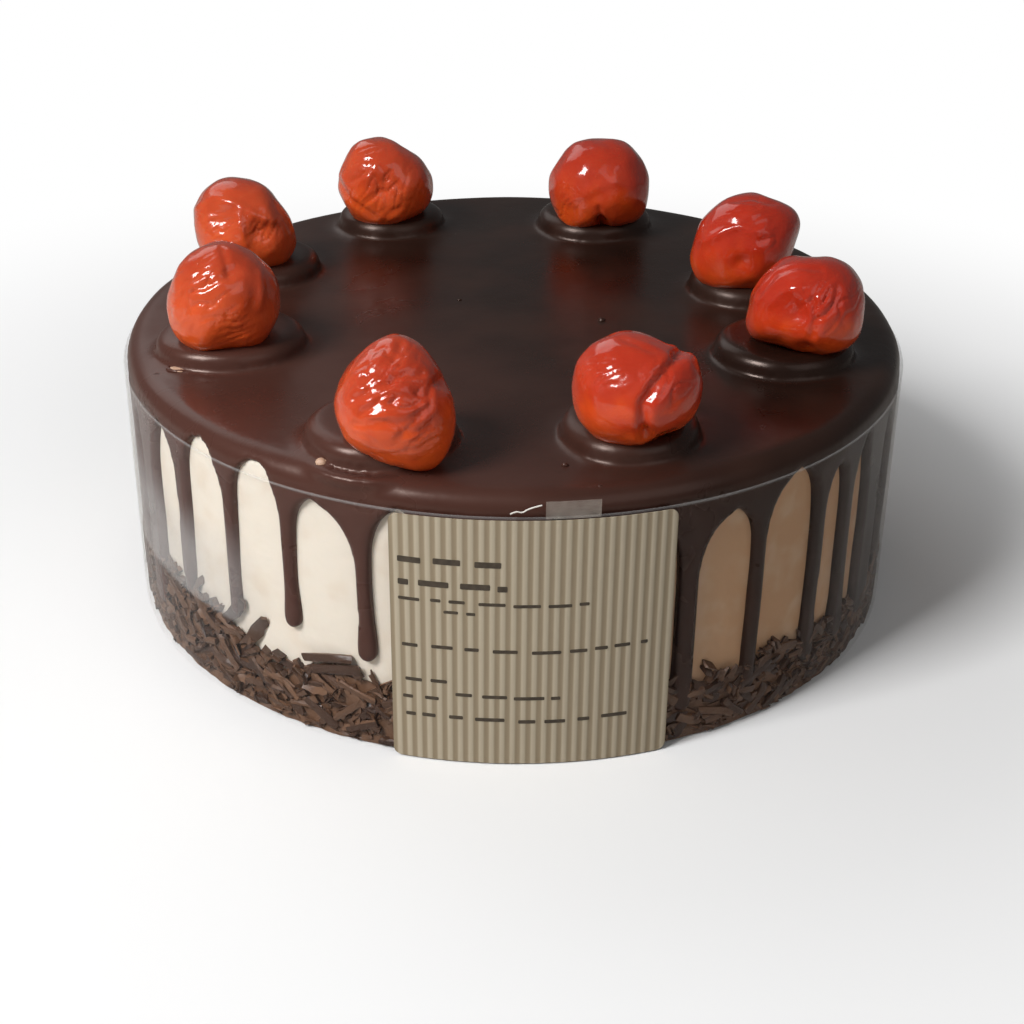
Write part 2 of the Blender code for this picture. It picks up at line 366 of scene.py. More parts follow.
lid = add(
    bpy.ops.mesh.primitive_circle_add,
    vertices=256, radius=LID_RADIUS, fill_type="NGON", location=(0, 0, LID_UNDER)
)
apply_place(lid)
edit(lid, "EDGE", "SELECT")
bpy.ops.mesh.region_to_loop()
widen = (RIM_RADIUS - HAIR) / LID_RADIUS
for rise in (LIP_BOTTOM - LID_UNDER, 0, TOP - LIP_BOTTOM):
    raise_edges(rise)
    if rise == 0:
        bpy.ops.transform.resize(value=(widen, widen, 1), center_override=(0, 0, LIP_BOTTOM))
bpy.ops.mesh.edge_face_add()
bpy.ops.mesh.select_mode(type="EDGE")
pick_edges(lid, lambda a, b: min(a.z, b.z) > TOP - HAIR)
bpy.ops.mesh.bevel(offset=RIM_ROUND, segments=10, profile=0.5)
leave()
print(f"lid: {len(lid.data.polygons)} faces")

# %% Find the cherries' places
CHERRIES = [f"cherry_{number}" for number in range(1, 9)]


def middle_of(node):
    """Centre and size of a node's box."""
    low, high = (Vector(corner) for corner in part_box(node))
    return (low + high) / 2, high - low


# How wide each mound is, and how far its middle lies from its cherry's, outwards and clockwise,
# in millimetres.
MOUNDS = {
    "cherry_1": (13.0, -1.0, -2.6),
    "cherry_2": (13.8, -1.5, -2.6),
    "cherry_3": (11.6, 1.5, -2.0),
    "cherry_4": (12.5, 3.5, 2.0),
    "cherry_5": (11.6, 1.0, 1.2),
    "cherry_6": (13.0, -3.5, 0.5),
    "cherry_7": (13.0, -5.0, -4.4),
    "cherry_8": (12.4, -4.0, 1.0),
}


def mound_place(node):
    """Where the mound under a cherry stands."""
    centre, _ = middle_of(node)
    out = outwards_from(centre)
    across = Vector((-out.y, out.x, 0))
    _, outwards, sideways = MOUNDS[node]
    return Vector((centre.x, centre.y, 0)) + out * outwards * MM + across * sideways * MM


# %% Model the mounds with their grooves
SUNK = 1.5 * MM
SHOULDER = 2.7 * MM
POOL = 1.2 * MM
RIPPLE = 12 * MM
mound_pieces = []
for node in CHERRIES:
    radius = MOUNDS[node][0] * MM
    place = mound_place(node)
    height = MOUND_HEIGHT * chance.uniform(0.94, 1.04)
    mound = add(
        bpy.ops.mesh.primitive_cylinder_add, vertices=64, radius=radius, depth=height + SUNK
    )
    edit(mound, "EDGE")
    pick_edges(mound, lambda a, b: min(a.z, b.z) > 0)
    bpy.ops.mesh.bevel(offset=SHOULDER, segments=6, profile=0.5)
    leave()
    shift = TOP + height - (height + SUNK) / 2
    squash = 1 + chance.uniform(-0.05, 0.05)
    swell = chance.uniform(0, 10)

    def shape_mound(co):
        """A slightly uneven round, tucked in at its foot."""
        tuck = 1 - 0.07 * max(0.0, min(1.0, (0.2 * MM - co.z) / (2 * MM)))
        ripple = 1 + 0.03 * noise.noise(Vector((co.x / RIPPLE, co.y / RIPPLE, swell)))
        return Vector((co.x * tuck * ripple * squash, co.y * tuck * ripple / squash, co.z + shift))

    move_points(mound, shape_mound)
    mound.location = place
    mound_pieces.append(mound)
    pool = add(
        bpy.ops.mesh.primitive_torus_add,
        major_radius=radius + SUNK,
        minor_radius=POOL,
        major_segments=64,
        minor_segments=12,
        location=(place.x, place.y, TOP - 0.85 * MM),
    )
    mound_pieces.append(pool)
print(f"{len(mound_pieces) // 2} mounds")

# %% Cut the seats that the cherries sit in
SEAT_SHARE = 0.97


def cut(piece, cutter):
    """Cut one piece out of another and throw the cutter away."""
    modify(piece, "BOOLEAN", operation="DIFFERENCE", object=cutter, solver="EXACT")
    bpy.data.objects.remove(cutter)


for node, mound in zip(CHERRIES, mound_pieces[::2]):
    centre, size = middle_of(node)
    seat = add(
        bpy.ops.mesh.primitive_uv_sphere_add, segments=40, ring_count=20, radius=1, location=centre
    )
    seat.scale = size / 2 * SEAT_SHARE
    cut(mound, seat)
print(f"{len(CHERRIES)} seats")

# %% Open the tallest arches in the rim
HIGH_ARCH = 50.0
WINDOW_DEPTH = 8 * MM
WINDOW_RADIUS = CREAM_RADIUS + 3.4 * MM
for this, after in zip(runs, runs[1:]):
    if this.arch < HIGH_ARCH:
        continue
    width = arc_length(after.azimuth - this.azimuth) / 2 - (this.neck + after.neck) * MM / 4
    turn = (this.azimuth + after.azimuth) / 2
    window = add(bpy.ops.mesh.primitive_cylinder_add, vertices=48, radius=1, depth=1)
    window.scale = (width, ARCH_HEIGHT, WINDOW_DEPTH)
    window.rotation_euler = (math.radians(90), 0, math.radians(turn))
    window.location = polar(WINDOW_RADIUS, turn, this.arch * MM - ARCH_HEIGHT)
    cut(lid, window)
    print(f"opened the arch at azimuth {turn:.1f}")

# %% Melt lid, mounds and runs into one skin
VOXEL = 0.55 * MM
INNER_RADIUS = 72 * MM
KEPT_FACES = 0.42
ganache = join("ganache_pour", [lid, runs_piece] + mound_pieces)
apply_place(ganache)
modify(ganache, "REMESH", mode="VOXEL", voxel_size=VOXEL, use_smooth_shade=True)
modify(ganache, "SMOOTH", factor=0.6, iterations=9)
top_points = ganache.vertex_groups.new(name="top")
points = ganache.data.vertices
inner = [v.index for v in points if v.co.z > TOP - MM and v.co.xy.length < INNER_RADIUS]
top_points.add(inner, 1.0, "REPLACE")
modify(ganache, "SMOOTH", factor=0.6, iterations=14, vertex_group="top")


def uneven(co):
    """Slow waves in the top, faded out down the side."""
    wave = noise.noise(Vector((co.x / 0.035, co.y / 0.035, 0.7)))
    top_share = max(0.0, min(1.0, (co.z - TOP + 0.006) / 0.006))
    swell = noise.noise(Vector((co.x / 0.011, co.y / 0.011, co.z / 0.022)))
    lift = Vector((0, 0, 0.35 * MM * wave * top_share))
    return co + lift + outwards_from(co) * swell * 0.16 * MM


move_points(ganache, uneven)
print(f"ganache before decimating: {len(ganache.data.polygons)} faces")
modify(ganache, "DECIMATE", ratio=KEPT_FACES, use_collapse_triangulate=True)
settle(ganache, "ganache_pour", angle=70)

# %% [markdown]
# ## The candied cherries
#
# A candied cherry was stoned, boiled in syrup and squeezed among others, so no two are alike: one
# is folded like a bean, one is pinched to a point, most have the dimple of the stalk and a skin
# that wrinkles where it shrank. Each ball is sculpted twice: its outline, dimples and folds on a
# coarse mesh, then, after a Subdivision Surface, the fine wrinkles. The front is what is looked
# at, so places on a ball are given as they are seen from there: how far right, how far up.

# %% Say where the eye stands
EYE = Vector((0.0, -4.320, 2.466)) * COLLAR_RADIUS
EYE_DOWN = 28.62
EYE_ROLL = 0.60
LENS = 62.93
SENSOR = 36.0
print(f"the eye is {EYE.length:.3f} m away")

# %% Say how each cherry is shaped
# Outline: how far the edge is from the middle, every 30 degrees from the right, anticlockwise.
OUTLINES = {
    "cherry_1": (0.89, 0.77, 0.84, 0.89, 1.00, 1.02, 0.98, 1.00, 0.97, 0.95, 1.05, 1.08),
    "cherry_2": (0.97, 0.92, 0.90, 0.95, 0.92, 0.92, 0.98, 1.09, 1.12, 0.96, 1.05, 1.02),
    "cherry_3": (0.97, 0.87, 0.81, 0.91, 1.00, 0.96, 1.00, 1.00, 1.04, 1.00, 0.96, 1.02),
    "cherry_4": (1.00, 0.98, 0.97, 0.89, 0.93, 0.94, 1.01, 1.05, 1.05, 0.86, 0.98, 1.08),
    "cherry_5": (0.94, 1.10, 0.94, 0.88, 0.87, 0.88, 0.96, 1.10, 1.03, 0.93, 0.95, 0.93),
    "cherry_6": (1.00, 1.01, 0.92, 0.81, 0.89, 0.90, 0.98, 1.08, 0.80, 0.80, 0.93, 1.04),
    "cherry_7": (0.84, 0.78, 0.91, 1.00, 0.87, 0.84, 0.84, 0.85, 0.82, 0.88, 1.04, 0.95),
    "cherry_8": (0.98, 0.99, 0.81, 0.87, 0.93, 0.97, 0.98, 0.97, 0.94, 0.86, 0.78, 0.92),
}
# Dimples and bulges: right, up, reach, and depth (a bulge has a depth below zero).
DIMPLES = {
    "cherry_1": ((-0.46, 0.04, 0.30, 0.13), (0.28, -0.20, 0.26, 0.12)),
    "cherry_2": ((0.16, 0.42, 0.14, 0.06), (0.05, -0.55, 0.22, 0.03)),
    "cherry_3": ((-0.10, -0.20, 0.30, 0.12), (-0.45, 0.62, 0.30, -0.04)),
    "cherry_4": ((0.08, -0.86, 0.12, 0.22), (-0.62, -0.55, 0.18, 0.04)),
    "cherry_5": ((-0.02, -0.42, 0.17, 0.09), (-0.20, -0.12, 0.40, 0.07)),
    "cherry_6": ((-0.20, -0.15, 0.32, 0.12), (0.10, -0.80, 0.16, 0.06)),
    "cherry_7": ((0.36, 0.16, 0.16, 0.07), (0.78, 0.36, 0.12, 0.08), (-0.1, -0.2, 0.3, -0.02)),
    "cherry_8": ((0.60, 0.62, 0.10, 0.08), (0.20, -0.74, 0.12, 0.12)),
}
# Folds: half width, depth (a ridge has a depth below zero), then the places it runs through.
FOLDS = {
    "cherry_1": (
        (0.09, -0.06, ((-0.90, 0.32), (-0.56, 0.52), (-0.12, 0.38), (0.25, 0.12), (0.52, 0.02))),
        (0.07, -0.04, ((-0.10, 0.25), (-0.12, -0.05), (-0.02, -0.40))),
    ),
    "cherry_2": (
        (0.06, 0.05, ((0.02, 0.80), (0.06, 0.55), (0.10, 0.28))),
        (0.07, -0.04, ((0.66, 0.35), (0.66, 0.05), (0.58, -0.25))),
        (0.06, 0.04, ((-0.85, -0.05), (-0.40, 0.20), (0.00, 0.30))),
    ),
    "cherry_3": (
        (0.05, 0.05, ((-0.72, 0.00), (-0.35, 0.22))),
        (0.05, 0.05, ((-0.10, 0.30), (0.20, -0.05), (0.30, -0.20))),
        (0.06, 0.05, ((-0.98, 0.05), (-0.72, -0.38), (-0.25, -0.72))),
        (0.05, 0.04, ((0.05, -0.70), (0.30, -0.55))),
        (0.05, 0.05, ((-0.10, -0.20), (-0.45, -0.42))),
        (0.05, 0.04, ((-0.10, -0.20), (0.10, -0.62))),
    ),
    "cherry_4": (
        (0.12, -0.03, ((-0.50, -0.34), (-0.10, -0.12), (0.30, 0.05))),
        (0.05, 0.07, ((0.06, -0.98), (0.08, -0.72), (0.02, -0.50))),
    ),
    "cherry_5": (
        (0.08, -0.05, ((-0.75, -0.05), (-0.44, 0.18), (-0.11, 0.28), (0.12, 0.18), (0.42, 0.18))),
        (0.06, 0.04, ((-0.30, 0.80), (0.10, 0.86), (0.50, 0.72))),
    ),
    "cherry_6": (
        (0.05, 0.05, ((-0.85, 0.10), (-0.62, 0.48), (-0.20, 0.66), (0.20, 0.66))),
        (0.06, 0.06, ((0.10, 0.10), (0.20, -0.20), (0.15, -0.55))),
        (0.05, 0.04, ((0.20, -0.25), (0.45, 0.00), (0.55, 0.30))),
        (0.08, -0.04, ((-0.62, -0.02), (-0.45, 0.20), (-0.10, 0.30))),
    ),
    "cherry_7": (
        (0.06, 0.07, ((-0.48, 0.40), (-0.20, 0.52), (0.05, 0.70), (0.10, 0.85))),
        (0.06, 0.07, ((-0.62, 0.10), (-0.25, 0.22), (0.10, 0.42), (0.42, 0.46))),
        (0.06, 0.06, ((-0.50, -0.10), (-0.20, 0.00), (0.12, 0.10), (0.30, 0.02))),
        (0.05, 0.06, ((-0.60, -0.28), (-0.20, -0.26), (0.15, -0.24), (0.52, -0.05))),
        (0.05, 0.05, ((0.05, -0.45), (0.25, -0.30), (0.50, -0.28))),
        (0.05, 0.06, ((0.80, 0.44), (0.56, 0.30), (0.52, 0.05))),
    ),
    "cherry_8": (
        (
            0.08,
            0.15,
            ((0.72, 0.70), (0.50, 0.40), (0.26, 0.08), (0.10, -0.20), (0.12, -0.50), (0.2, -0.8)),
        ),
        (0.05, 0.05, ((0.68, 0.40), (0.42, 0.05), (0.22, -0.10))),
        (0.06, 0.03, ((-0.28, 0.80), (0.00, 0.72), (0.22, 0.62))),
    ),
}
# Wrinkles: right, up, reach, which way they run in degrees, how close they are, and their depth.
WRINKLES = {
    "cherry_1": ((-0.46, 0.04, 0.34, 20, 8, 0.030), (0.30, -0.18, 0.30, 60, 9, 0.030)),
    "cherry_2": ((-0.42, 0.12, 0.52, 33, 7, 0.042), (0.15, -0.62, 0.30, 25, 8, 0.028)),
    "cherry_3": ((-0.10, -0.10, 0.55, 70, 5, 0.045), (-0.40, 0.50, 0.35, 20, 6, 0.025)),
    "cherry_4": ((-0.62, -0.52, 0.25, 40, 9, 0.030),),
    "cherry_5": ((0.00, 0.60, 0.40, 5, 6, 0.022), (0.45, 0.10, 0.25, 20, 7, 0.022)),
    "cherry_6": ((0.42, 0.05, 0.42, 55, 7, 0.038), (-0.05, -0.10, 0.30, 60, 5, 0.020)),
    "cherry_7": (
        (-0.15, 0.55, 0.42, 42, 7, 0.040),
        (0.00, 0.05, 0.50, 14, 6, 0.055),
        (0.35, -0.35, 0.32, 30, 7, 0.040),
    ),
    "cherry_8": ((-0.50, 0.20, 0.28, 30, 9, 0.030), (0.42, 0.12, 0.34, 48, 8, 0.034)),
}
# How far cherries 1 to 8 are pressed down, in millimetres, and how much taller they are made.
PRESSED = (0.7, 0.7, 1.0, 0.4, 0.6, 0.2, 1.7, 0.8)
TALLER = (1.00, 1.00, 1.05, 1.03, 1.05, 1.00, 1.03, 1.00)
print(f"{sum(len(folds) for folds in FOLDS.values())} folds")

# %% Sculpt the cherries


def outline_at(outline, right, up):
    """The outline's reach in this direction, run smoothly from one value to the next."""
    turn = math.degrees(math.atan2(up, right)) % 360 * len(outline) / 360
    first = int(turn)
    share = turn - first
    a, b, c, d = (outline[(first + step) % len(outline)] for step in (-1, 0, 1, 2))
    bend = c - a + share * (2 * a - 5 * b + 4 * c - d + share * (3 * (b - c) + d - a))
    return b + 0.5 * share * bend


def from_line(right, up, places):
    """How far a place is from a run of places."""
    nearest = math.inf
    for first, last in zip(places, places[1:]):
        away, run = Vector((right, up)) - Vector(first), Vector(last) - Vector(first)
        share = max(0.0, min(1.0, away.dot(run) / run.length_squared))
        nearest = min(nearest, (away - run * share).length)
    return nearest


def pressed(node, way):
    """How far the dimples and folds of this cherry move a point in or out."""
    depth = 0.0
    front = max(0.0, min(1.0, way.z * 3 + 0.6))
    for right, up, reach, deep in DIMPLES[node]:
        away = ((way.x - right) ** 2 + (way.y - up) ** 2) / reach**2
        depth += deep * math.exp(-away) * front
    for width, deep, places in FOLDS[node]:
        away = (from_line(way.x, way.y, places) / width) ** 2
        shoulder = 0.45 * math.exp(-away / 5)
        depth += deep * (math.exp(-away) - shoulder) * front
    return depth


def wrinkled(node, way):
    """The depth of the fine wrinkles here: thin valleys between rounded ridges."""
    depth = 0.0
    front = max(0.0, min(1.0, way.z * 3 + 0.3))
    for right, up, reach, run, close, deep in WRINKLES[node]:
        fade = math.exp(-((way.x - right) ** 2 + (way.y - up) ** 2) / reach**2)
        turn = math.radians(run + 12 * noise.noise(way * 1.7))
        along = math.cos(turn) * way.x + math.sin(turn) * way.y
        across = math.cos(turn) * way.y - math.sin(turn) * way.x
        wave = noise.noise(Vector((along * close * 0.35, across * close, right * 5 + up * 3)))
        depth += deep * fade * front * (1 - min(1.0, abs(wave) * 3.2)) ** 2
    return depth


def extent(size, way):
    """Half the extent of a ball of this size in one direction."""
    return math.sqrt(sum((side / 2 * part) ** 2 for side, part in zip(size, way)))


def fit(values, half):
    """The scale and shift that bring values to the range from -half to half."""
    low, high = min(values), max(values)
    scale = 2 * half / (high - low)
    return scale, -half - low * scale


def sculpt_cherry(number):
    """One candied cherry in its place."""
    node = CHERRIES[number]
    cherry = add(bpy.ops.mesh.primitive_ico_sphere_add, subdivisions=5, radius=1)
    outline = OUTLINES[node]
    seed = Vector((number * 3.1, 0.0, 0.0))

    def rough_out(co):
        """Outline, dimples, folds and soft lumps."""
        way = co.normalized()
        side = math.hypot(way.x, way.y)
        reach = 1 + (outline_at(outline, way.x, way.y) - 1) * side**1.5
        lump = 0.035 * noise.noise(way * 1.9 + seed) + 0.012 * noise.noise(way * 4.5 + seed)
        size = 1 - pressed(node, way) + lump
        return Vector((way.x * reach * size, way.y * reach * size, way.z * size))

    def wrinkle(co):
        """Fine wrinkles, pressed in along the way out from the middle."""
        way = co.normalized()
        return co * (1 - wrinkled(node, way))

    move_points(cherry, rough_out)
    modify(cherry, "SUBSURF", levels=1, render_levels=1)
    move_points(cherry, wrinkle)

    centre, size = middle_of(node)
    towards = (EYE - centre).normalized()
    right = Vector((0, 0, 1)).cross(towards).normalized()
    up = towards.cross(right)
    points = [vert.co.copy() for vert in cherry.data.vertices]
    fits = [
        fit([point[axis] for point in points], extent(size, way))
        for axis, way in enumerate((right, up, towards))
    ]

    def place(co):
        """Scale to the frame's cherry and turn the front to the eye."""
        put = [co[axis] * scale + shift for axis, (scale, shift) in enumerate(fits)]
        lift = put[1] * TALLER[number] - PRESSED[number] * MM
        return centre + right * put[0] + up * lift + towards * put[2]

    move_points(cherry, place)
    return settle(cherry, node.replace("cherry", "candied_cherry"), angle=80)


cherries = [sculpt_cherry(number) for number in range(len(CHERRIES))]

# %% [markdown]
# ## The shavings at the foot
#
# Dark chocolate was scraped into flakes, curls and little rods and pressed by hand against the
# wet cream. They are real separate pieces, so four of them are modelled once, the flake and the
# curl from a grid with a Solidify and a Simple Deform, the rod from a cylinder and the chip from a
# bevelled cube, and copied by the hundred, each copy with its own mesh. A dark core behind them
# closes the gaps, and the collar presses them flat on the outside.

# %% Model a core behind the shavings
PRESSED_AT = COLLAR_RADIUS - 0.55 * MM
SHAVINGS_INSIDE = CREAM_RADIUS - 0.4 * MM
CORE_OUTSIDE = CREAM_RADIUS + 0.45 * MM
# How high the shavings reach, in millimetres, by azimuth.
SHAVINGS_TOPS = (
    *((-180, 14.5), (-90, 15.0), (-62, 18.0), (-50, 18.5), (-40, 15.5), (-33, 12.0), (-26, 15.5)),
    *((-15, 14.0), (21, 13.0), (40, 13.5), (60, 12.0), (90, 14.0), (180, 14.5)),
)


def shavings_top(azimuth):
    """How high the shavings reach here."""
    azimuth = (azimuth + 180) % 360 - 180
    for (first, low), (last, high) in zip(SHAVINGS_TOPS, SHAVINGS_TOPS[1:]):
        if azimuth <= last:
            break
    share = (azimuth - first) / (last - first)
    ragged = 1.3 * noise.noise(polar(9.0, azimuth, 0.0))
    return (low + (high - low) * share + ragged) * MM


core = add(
    bpy.ops.mesh.primitive_circle_add, vertices=320, radius=CORE_OUTSIDE, fill_type="NOTHING"
)
edit(core, action="SELECT")
CORE_LIFTS = 6
for lift in range(CORE_LIFTS):
    raise_edges(1 / CORE_LIFTS)
leave()
modify(core, "SOLIDIFY", thickness=CORE_OUTSIDE - SHAVINGS_INSIDE, offset=-1)


def heap(co):
    """Raise the core to just under the shavings' top, with a lumpy face."""
    azimuth = math.degrees(math.atan2(co.x, -co.y))
    height = 0.3 * MM + (shavings_top(azimuth) - 2.6 * MM) * min(1.0, co.z)
    lumps = 0.35 * noise.noise(Vector((co.x, co.y, height)) / (2.2 * MM))
    foot = 0.6 * max(0.0, 1 - height / (2.5 * MM))
    return Vector((co.x, co.y, height)) + outwards_from(co) * (lumps + foot) * MM


move_points(core, heap)
settle(core, "shavings_core", angle=30)

# %% Model one flake, one curl, one rod and one chip


def model_flake():
    """A thin torn flake, 1 long and about 0.4 wide, a little twisted."""
    flake = add(bpy.ops.mesh.primitive_grid_add, x_subdivisions=5, y_subdivisions=2, size=1)
    for vert in flake.data.vertices:
        torn = 0.28 * noise.noise(Vector((vert.co.x * 5, vert.co.y * 3, 4.0)))
        vert.co.y = vert.co.y * 0.42 * (1 - 0.5 * abs(vert.co.x)) + torn * 0.3
        vert.co.x += 0.2 * noise.noise(Vector((vert.co.y * 9, 1.0, vert.co.x)))
    modify(flake, "SOLIDIFY", thickness=0.10, offset=0)
    modify(flake, "SIMPLE_DEFORM", deform_method="TWIST", deform_axis="X", angle=0.7)
    return flake


def model_curl():
    """A curl: a strip rolled up along its length."""
    curl = add(bpy.ops.mesh.primitive_grid_add, x_subdivisions=9, y_subdivisions=1, size=1)
    for vert in curl.data.vertices:
        vert.co.y *= 0.42 - 0.16 * vert.co.x
    modify(curl, "SOLIDIFY", thickness=0.09, offset=0)
    modify(curl, "SIMPLE_DEFORM", deform_method="BEND", deform_axis="Y", angle=math.radians(210))
    return curl


def model_rod():
    """A short rod with slanted ends, a little bent."""
    rod = add(bpy.ops.mesh.primitive_cylinder_add, vertices=7, radius=0.12, depth=1)
    edit(rod)
    for ring in (-0.25, 0.0, 0.25):
        pick_all()
        bpy.ops.mesh.bisect(plane_co=(0, 0, ring), plane_no=(0, 0, 1))
    leave()
    for vert in rod.data.vertices:
        vert.co.x += 0.06 * math.cos(vert.co.z * 3) + 0.04 * noise.noise(vert.co * 4)
        vert.co.y *= 1 + 0.25 * noise.noise(vert.co * 3)
        vert.co.z += vert.co.x * 0.4 * (1 if vert.co.z > 0 else -1)
    edit(rod, action="SELECT")
    quarter = math.radians(90)
    bpy.ops.transform.rotate(value=quarter, orient_axis="Y", center_override=(0, 0, 0))
    leave()
    return rod


def model_chip():
    """A broken chip with blunt corners."""
    chip = add(bpy.ops.mesh.primitive_cube_add, size=0.4)
    edit(chip, action="SELECT")
    bpy.ops.mesh.bevel(offset=0.07, segments=1, affect="EDGES")
    leave()
    for vert in chip.data.vertices:
        vert.co *= 1 + 0.5 * noise.noise(vert.co * 6)
        vert.co.x *= 1.5
    return chip


shapes = {
    "shavings_flakes": model_flake(),
    "shavings_curls": model_curl(),
    "shavings_rods": model_rod(),
    "shavings_chips": model_chip(),
}
for name, shape in shapes.items():
    print(f"{name}: {len(shape.data.polygons)} faces each")

# %% Press the shavings against the cream
# How many of each, how long and how thick they are in millimetres, and how far they tilt.
HEAPS = {
    "shavings_flakes": (900, (2.6, 6.2), (2.4, 4.6), 60),
    "shavings_curls": (320, (2.8, 5.2), (2.6, 4.6), 75),
    "shavings_rods": (260, (3.6, 7.5), (4.6, 7.5), 45),
    "shavings_chips": (620, (1.8, 3.8), (2.0, 3.8), 80),
}
# A few that stand out by themselves: shape, azimuth, height, length and tilt.
SINGLE_SHAVINGS = (
    ("shavings_rods", -25.2, 16.0, 9.5, 14),
    ("shavings_rods", -24.2, 14.0, 10.5, 12),
    ("shavings_flakes", -37.5, 15.8, 8.5, 52),
    ("shavings_flakes", -41.5, 18.2, 8.0, 48),
    ("shavings_curls", -33.5, 12.5, 6.0, 70),
    ("shavings_curls", 27.5, 13.8, 6.5, 60),
    ("shavings_curls", 39.0, 13.6, 6.0, 20),
)
FOOT = 0.9 * MM


def copy_shaving(name, azimuth, height, length, wide, tilt, depth):
    """A copy of one shape, laid against the cream: along X it is long, along Z it is thin."""
    shaving = shapes[name].copy()
    shaving.data = shapes[name].data.copy()
    bpy.context.scene.collection.objects.link(shaving)
    turns = [(azimuth, "Z"), (90, "X"), (tilt, "Z")]
    turns += [(chance.uniform(-40, 40), "X"), (chance.uniform(-12, 12), "Y")]
    lay = Matrix.Identity(3)
    for degrees, axis in turns:
        lay = lay @ Matrix.Rotation(math.radians(degrees), 3, axis)
    scale = Matrix.Diagonal((length * MM, wide * MM, wide * MM))
    place = polar(CREAM_RADIUS + depth * MM, azimuth, height * MM)
    shaving.matrix_world = Matrix.Translation(place) @ (lay @ scale).to_4x4()
    return shaving


placed = {name: [] for name in shapes}
for name, (count, lengths, widths, tilts) in HEAPS.items():
    for number in range(count):
        azimuth = (number + chance.random()) / count * 360 - 180
        length = chance.uniform(*lengths)
        room = shavings_top(azimuth) / MM - 1.2
        height = 0.6 + room * chance.random() ** 1.15
        tilt = chance.uniform(-tilts, tilts)
        wide = chance.uniform(*widths)
        depth = chance.uniform(0.3, 1.1)
        placed[name].append(copy_shaving(name, azimuth, height, length, wide, tilt, depth))
for name, azimuth, height, length, tilt in SINGLE_SHAVINGS:
    placed[name].append(copy_shaving(name, azimuth, height, length, length * 0.75, tilt, 0.9))


def press(co):
    """Keep a point inside the collar and above what the cake stands on."""
    away = math.hypot(co.x, co.y)
    kept = min(away, PRESSED_AT - HAIR + 0.1 * min(away - PRESSED_AT, MM)) / away
    low = co.z if co.z > FOOT else FOOT - 0.25 * (FOOT - co.z)
    return Vector((co.x * kept, co.y * kept, max(low, 0.25 * MM)))


shavings = [core]
for name, pieces in placed.items():
    heap_piece = join(name, pieces)
    apply_place(heap_piece)
    move_points(heap_piece, press)
    shavings.append(settle(heap_piece, name, angle=35))
    bpy.data.objects.remove(shapes[name])

# %% [markdown]
# ## The clear collar
#
# A strip of clear film stands round the cake, cut straight, its ends joined under the label. A
# circle is extruded upwards in steps and given its thickness, and it waves a little, as film does.

# %% Model the collar
FILM = 0.2 * MM
FILM_OUTSIDE = COLLAR_RADIUS - 0.05 * MM
FILM_LIFTS = 10
FILM_WAVE = 0.09 * MM

collar = add(
    bpy.ops.mesh.primitive_circle_add,
    vertices=256, radius=FILM_OUTSIDE, fill_type="NOTHING", location=(0, 0, collar_low[2])
)
edit(collar, action="SELECT")
for lift in range(FILM_LIFTS):
    raise_edges((COLLAR_TOP - collar_low[2]) / FILM_LIFTS)
pick_all()
turn_faces_out()
leave()
modify(collar, "SOLIDIFY", thickness=FILM, offset=-1)
apply_place(collar)


def wave_film(co):
    """A slow wave round the film, a little more at its top."""
    out = outwards_from(co)
    wave = noise.noise(out * 2.2 + Vector((0, 0, co.z / 0.05)))
    return co - out * FILM_WAVE * (1 + wave) * (0.4 + co.z / COLLAR_TOP)


move_points(collar, wave_film)
settle(collar, "collar_film", angle=30)

# %% [markdown]
# ## The label, its print and the tape
#
# A striped paper label with rounded corners closes the collar at the front. Its print is kept to
# plain short bars in rows. Flat sheets are cut first: a plane gets its corners bevelled and is
# bisected into strips, so that it can be bent round the collar, and then it gets its thickness.
# A small tab of clear tape holds it at the top, with a thin curl beside it that is pale all over,
# as a painted highlight.

# %% Cut flat sheets and bend them round the collar
label_low, label_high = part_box("label")
tape_low, tape_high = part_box("tape")
LABEL_FROM = -15.3
LABEL_TO = 20.9
TAPE_FROM = 4.1
TAPE_TO = 10.9
PAPER = 0.2 * MM
PAPER_RADIUS = COLLAR_RADIUS + 0.3 * MM


def along_collar(degrees):
    """Distance along the collar for an azimuth."""
    return math.radians(degrees) * PAPER_RADIUS


def cut_sheet(first, last, low, high, corner, strips):
    """A flat sheet between two azimuths and heights, with its corners rounded."""
    flat = add(bpy.ops.mesh.primitive_plane_add, size=1)
    edit(flat, action="SELECT")
    wide = along_collar(last) - along_collar(first)
    bpy.ops.transform.resize(value=(wide, high - low, 1), center_override=(0, 0, 0))
    middle = ((along_collar(first) + along_collar(last)) / 2, (low + high) / 2, 0)
    bpy.ops.transform.translate(value=middle)
    if corner:
        bpy.ops.mesh.bevel(offset=corner, segments=5, affect="VERTICES")
    for strip in range(1, strips):
        pick_all()
        cut_at = (along_collar(first) + wide * strip / strips, 0, 0)
        bpy.ops.mesh.bisect(plane_co=cut_at, plane_no=(1, 0, 0))
    leave()
    return flat


def bend(flat, radius, thickness):
    """Bend a flat sheet round the collar and give it its thickness outwards."""
    move_points(flat, lambda co: polar(radius, math.degrees(co.x / PAPER_RADIUS), co.y))
    edit(flat, "FACE", "SELECT")
    turn_faces_out()
    leave()
    face = flat.data.polygons[0]
    outwards = face.normal.dot(face.center) > 0
    modify(flat, "SOLIDIFY", thickness=thickness, offset=1 if outwards else -1)


# %% Model the label
label = cut_sheet(LABEL_FROM, LABEL_TO, label_low[2], label_high[2], 1.5 * MM, 54)
bend(label, PAPER_RADIUS, PAPER)
settle(label, "label_sheet", angle=35)

